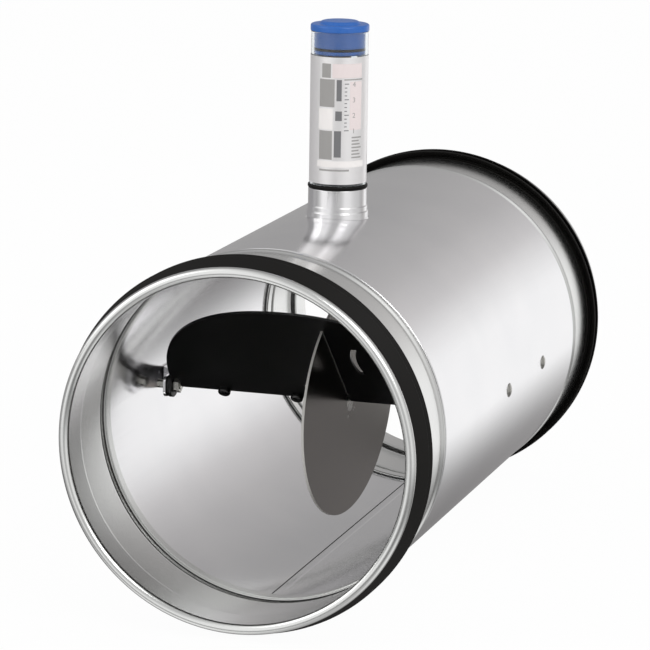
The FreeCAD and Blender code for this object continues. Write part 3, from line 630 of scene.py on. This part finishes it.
def curvedText(name, words, centreDeg, height, material):
    # Plain figures bent round the column: sideways distance over radius gives the angle.
    n = label
    data = bpy.data.curves.new(name, "FONT")
    data.body, data.size, data.align_x, data.extrude = words, n["figureSize"], "CENTER", n["figureThick"]
    source = bpy.data.objects.new(name + "_flat", data)
    bpy.context.scene.collection.objects.link(source)
    graph = bpy.context.evaluated_depsgraph_get()
    mesh = bpy.data.meshes.new_from_object(source.evaluated_get(graph))
    bpy.data.objects.remove(source)
    mergeClose(mesh, n["figureMerge"])
    co = readPoints(mesh)
    radius = n["radius"] + n["figureLift"]
    a = np.radians(n["front"] + centreDeg) + co[:, 0] / radius
    r = radius + co[:, 2]
    bent = np.stack([r * np.cos(a), r * np.sin(a), height + co[:, 1]], -1) * mm + np.array(columnAxis)
    mesh.vertices.foreach_set("co", bent.astype(np.float32).ravel())
    mesh.update()
    piece = bpy.data.objects.new(name, mesh)
    bpy.context.scene.collection.objects.link(piece)
    return dress(piece, material, "casing", "printed_foil")


def makeLabel():
    # Silver foil with a plain printed scale: fields, ruled lines that end at three lengths in turn, ticks
    # with every fourth one long, and figures.
    n = label
    ink = (n["inkLift"], n["inkThick"])
    reach = 180 - n["halfOpenDeg"]
    middle = 90 - n["front"] - 180
    foil = curvedPatch("foil_sleeve", middle - reach, middle + reach, n["low"], n["high"], 0.0, n["thick"],
                       foilSilver, 24)
    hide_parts("scale_label")
    for name, fromDeg, toDeg, low, high, colour in printed:
        curvedPatch(name, fromDeg, toDeg, low, high, *ink, colour)
    for i in range(n["ruleCount"]):
        z = n["ruleLow"] + n["ruleStep"] * i
        ruleTo = n["ruleTo"] - 3 * (i % 3)
        curvedPatch("rule_%d" % i, n["ruleFrom"], ruleTo, z, z + n["ruleHeight"], *ink, inkGrey, 2)
    for i in range(n["tickCount"]):
        z = n["tickLow"] + n["tickStep"] * i
        tickTo = n["tickFrom"] + (n["tickShort"] if i % n["tickEvery"] else n["tickLong"])
        curvedPatch("tick_%d" % i, n["tickFrom"], tickTo, z, z + n["tickHeight"], *ink, inkDark, 2)
    for i, words in enumerate(n["figures"]):
        curvedText("figure_%d" % i, words, n["figureAt"], n["figureLow"] + n["figureStep"] * i, inkGrey)


makeLabel()
print("label made")

# Pieces whose CAD shape is right get rounded edges and their material: node, material, body, slot and
# the width of the rounding in millimetres
finishes = [
    ("blade_plate", bladeMetal, "blade", "black_anodised", 0.3),
    ("guide_disc", discMetal, "blade", "grey_aluminium", 0.35),
    ("disc_hub", zincPlate, "blade", "zinc_plated", 0.3),
    ("hub_screws", zincPlate, "blade", "zinc_plated", 0.2),
    ("blade_screws", darkSteel, "blade", "zinc_plated", 0.2),
    ("blade_shaft", zincPlate, "blade", "zinc_plated", 0.3),
    ("wire_quadrant", blackPlastic, "blade", "black_plastic", 0.3),
    ("wire_wrap", springSteel, "blade", "spring_steel", 0.05),
    ("right_shaft_nut", zincPlate, "blade", "zinc_plated", 0.4),
    ("left_shaft_nut", zincPlate, "blade", "zinc_plated", 0.4),
    ("right_bearing_bracket", sheetSteel, "casing", "galvanised_steel", 0.3),
    ("left_bearing_bracket", sheetSteel, "casing", "galvanised_steel", 0.3),
    ("right_bearing_bush", blackPlastic, "casing", "black_plastic", 0.3),
    ("left_bearing_bush", blackPlastic, "casing", "black_plastic", 0.3),
    ("bracket_rivets", zincPlate, "casing", "zinc_plated", 0.15),
    ("tube_socket", blackPlastic, "casing", "black_plastic", 0.3),
    ("damper_cylinder", whitePlastic, "casing", "white_plastic", 0.2),
    ("setting_carrier", whitePlastic, "casing", "white_plastic", 0.2),
    ("damper_piston", whitePlastic, "plunger", "white_plastic", 0.2),
    ("pull_wire", springSteel, "plunger", "spring_steel", 0.05),
    ("tension_spring", springSteel, None, "spring_steel", 0.02),      # on no body, see below
    ("setting_rod", zincPlate, "setting_rod", "zinc_plated", 0.15),
    ("setting_nut", brassMetal, "setting_nut", "brass", 0.3),
    ("cap_seal_ring", sealRubber, "cap", "black_rubber", 0.3),
]
rounding = {"merge": 0.002, "flatDeg": 1.0, "cornerDeg": 40, "segments": 2, "flatWeight": 50, "discFace": 0.8}


def softEdged(node, material, bodyName, slot, bevelMm):
    # A merged copy of a CAD node: faces in one plane become one, and edges that turn by more than the
    # corner angle are rounded. Weighted normals keep large flat faces flat beside a rounded edge.
    r = rounding
    piece = bpy.data.objects.new(node + "_finished", cad[node].data.copy())
    bpy.context.scene.collection.objects.link(piece)
    work = bmesh.new()
    work.from_mesh(piece.data)
    bmesh.ops.remove_doubles(work, verts=work.verts, dist=r["merge"] * mm)
    bmesh.ops.dissolve_limit(work, angle_limit=np.radians(r["flatDeg"]), verts=work.verts, edges=work.edges)
    work.to_mesh(piece.data)
    work.free()
    piece.data.shade_smooth()
    bevel = piece.modifiers.new("edges", "BEVEL")
    bevel.width, bevel.segments, bevel.limit_method = bevelMm * mm, r["segments"], "ANGLE"
    bevel.angle_limit = np.radians(r["cornerDeg"])
    bevel.use_clamp_overlap = True
    flats = piece.modifiers.new("flats", "WEIGHTED_NORMAL")
    flats.mode, flats.weight, flats.keep_sharp = "FACE_AREA", r["flatWeight"], False
    applyModifiers(piece)
    return dress(piece, material, bodyName, slot, node)


def setCutEdgeAndHighlight(disc):
    # Faces whose normal leaves the shaft's direction, X, take the pale cut-edge material: partly bare metal,
    # partly a painted rim highlight.
    disc.data.materials.append(cutEdgeAndHighlight)
    normal = np.empty(len(disc.data.polygons) * 3, np.float32)
    disc.data.polygons.foreach_get("normal", normal)
    edge = np.abs(normal[::3]) < rounding["discFace"]
    disc.data.polygons.foreach_set("material_index", edge.astype(np.int32))


finished = {row[0]: softEdged(*row) for row in finishes}
setCutEdgeAndHighlight(finished["guide_disc"])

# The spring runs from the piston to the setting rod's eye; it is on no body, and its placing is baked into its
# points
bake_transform(finished["tension_spring"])
print("small pieces finished")

studio = {
    "floor": "#f4f4f4", "floorRough": 0.6, "floorGap": 0.3, "floorSize": 6.0,
    "floorSeen": 0.97,                                # share of the floor's shading that plain white covers
    "sky": "#dcdcdc",                                 # what matt surfaces are lit by
    "brightSide": (0.33, 0.935, -0.13),               # gloss sees the backdrop brightest this way
    "sweep": ((-1.0, "#9a9a9b"), (0.3, "#9b9a9b"), (0.75, "#a09f9f"), (0.87, "#b7b5b5"), (0.93, "#d0cece"),
              (0.985, "#ffffff")),
    "viewer": (0.2985, -0.9544, 0.0),                 # level direction from the object to the camera
    "viewerRight": (0.9544, 0.2985, 0.0),
    "nearer": (-0.45, 0.05),                          # over this share of viewer the backdrop gives way
    "panels": ((-1.0, "#8c8c8c"), (-0.97, "#c0c0c0"), (-0.88, "#fbfbfb"), (-0.5, "#fbfbfb"), (-0.22, "#c6c6c6"),
               (0.0, "#bcbcbc"), (0.22, "#c6c6c6"), (0.5, "#f2f2f2"), (0.75, "#f0f0f0"), (1.0, "#cccccc")),
    "heights": ((-1.0, "#ffffff"), (-0.72, "#ffffff"), (-0.5, "#9c9c9c"), (-0.35, "#b4b4b4"),
                (-0.23, "#ffffff"), (1.0, "#ffffff")),        # share of the room's light by height
    "worldStrength": 1.0,
    # Soft boxes: name, place, size in metres and power in watts, all aimed at one height over the axis
    "lamps": (("key", (1.3, -0.9, 1.4), 1.2, 14.0), ("fill", (-1.5, -0.6, 0.9), 1.4, 5.0)),
    "aimHeight": 0.02,
}


def plainWhiteRays(tree):
    # Two switches: 1 for a ray from the camera or through clear plastic, and 1 for a glossy ray.
    path = addNode(tree, "ShaderNodeLightPath").outputs
    plain = addNode(tree, "ShaderNodeMath", {0: path["Is Camera Ray"], 1: path["Is Transmission Ray"]},
                    operation="MAXIMUM").outputs[0]
    return plain, path["Is Glossy Ray"]


def makeFloor():
    # A pale floor that the camera sees nearly white, with the object's shadow; gloss looks through it.
    s = studio
    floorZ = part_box("inlet_gasket")[0].z - s["floorGap"] * mm
    side = s["floorSize"]
    corners = np.array([(-side, -side, floorZ), (side, -side, floorZ),
                        (side, side, floorZ), (-side, side, floorZ)])
    floor = quadObject("floor", corners, np.array([[0, 1, 2, 3]]))
    material, tree, shader = startMaterial("white studio floor", s["floor"], Roughness=s["floorRough"])
    plain, glossy = plainWhiteRays(tree)
    seen = addNode(tree, "ShaderNodeMath", {0: plain, 1: s["floorSeen"]}, operation="MULTIPLY").outputs[0]
    glow = addNode(tree, "ShaderNodeEmission", {"Color": (1, 1, 1, 1), "Strength": 1.0}).outputs[0]
    shown = addNode(tree, "ShaderNodeMixShader", {0: seen, 1: shader.outputs[0], 2: glow}).outputs[0]
    clear = addNode(tree, "ShaderNodeBsdfTransparent").outputs[0]
    surface = addNode(tree, "ShaderNodeMixShader", {0: glossy, 1: shown, 2: clear}).outputs[0]
    tree.links.new(surface, tree.nodes["Material Output"].inputs["Surface"])
    floor.data.materials.append(material)


def makeRoom():
    # What lights the object: matt surfaces see an even sky, gloss a room with one bright lobe behind the
    # object and, before it, two bright panels with the darker camera side between them.
    s = studio
    world = bpy.data.worlds.new("studio")
    bpy.context.scene.world = world
    world.use_nodes = True
    tree = world.node_tree
    where = addNode(tree, "ShaderNodeTexCoord").outputs["Generated"]

    def shadeAlong(direction, steps):
        # Colours of steps by the cosine between a ray and the direction, from -1 to 1.
        share = addNode(tree, "ShaderNodeVectorMath", {0: where, 1: direction}, operation="DOT_PRODUCT")
        level = addNode(tree, "ShaderNodeMapRange", {"Value": share.outputs["Value"], "From Min": -1.0})
        ramp = addNode(tree, "ShaderNodeValToRGB", {"Fac": level.outputs["Result"]})
        stops = ramp.color_ramp.elements
        while len(stops) < len(steps):
            stops.new(1.0)
        for stop, (place, colour) in zip(stops, steps):
            stop.position, stop.color = (place + 1) / 2, linearColour(colour)
        return ramp.outputs["Color"]

    facing = addNode(tree, "ShaderNodeVectorMath", {0: where, 1: s["viewer"]}, operation="DOT_PRODUCT")
    nearer = addNode(tree, "ShaderNodeMapRange",
                     {"Value": facing.outputs["Value"], "From Min": s["nearer"][0], "From Max": s["nearer"][1]},
                     interpolation_type="SMOOTHSTEP").outputs["Result"]
    room = addNode(tree, "ShaderNodeMix", {"Factor": nearer, "A": shadeAlong(s["brightSide"], s["sweep"]),
                                           "B": shadeAlong(s["viewerRight"], s["panels"])}, data_type="RGBA")
    gloss = addNode(tree, "ShaderNodeMix", {"Factor": 1.0, "A": room.outputs["Result"],
                                            "B": shadeAlong((0, 0, 1), s["heights"])},
                    data_type="RGBA", blend_type="MULTIPLY").outputs["Result"]
    plain, glossy = plainWhiteRays(tree)
    lit = addNode(tree, "ShaderNodeMix", {"Factor": glossy, "A": linearColour(s["sky"]), "B": gloss},
                  data_type="RGBA").outputs["Result"]
    tint = addNode(tree, "ShaderNodeMix", {"Factor": plain, "A": lit, "B": (1, 1, 1, 1)}, data_type="RGBA")
    background = tree.nodes["Background"]
    tree.links.new(tint.outputs["Result"], background.inputs["Color"])
    background.inputs["Strength"].default_value = s["worldStrength"]


def makeLamps():
    # Each soft box looks from its place to the middle of the duct.
    target = Vector((0, ductLength / 2, studio["aimHeight"]))
    for name, place, size, power in studio["lamps"]:
        data = bpy.data.lights.new(name, "AREA")
        data.shape, data.size, data.energy = "SQUARE", size, power
        lamp = bpy.data.objects.new(name, data)
        bpy.context.scene.collection.objects.link(lamp)
        lamp.location = place
        lamp.rotation_mode = "QUATERNION"
        lamp.rotation_quaternion = (target - Vector(place)).to_track_quat("-Z", "Y")


makeFloor()
makeRoom()
makeLamps()
bpy.context.scene.view_settings.view_transform = "Standard"
print("studio made")
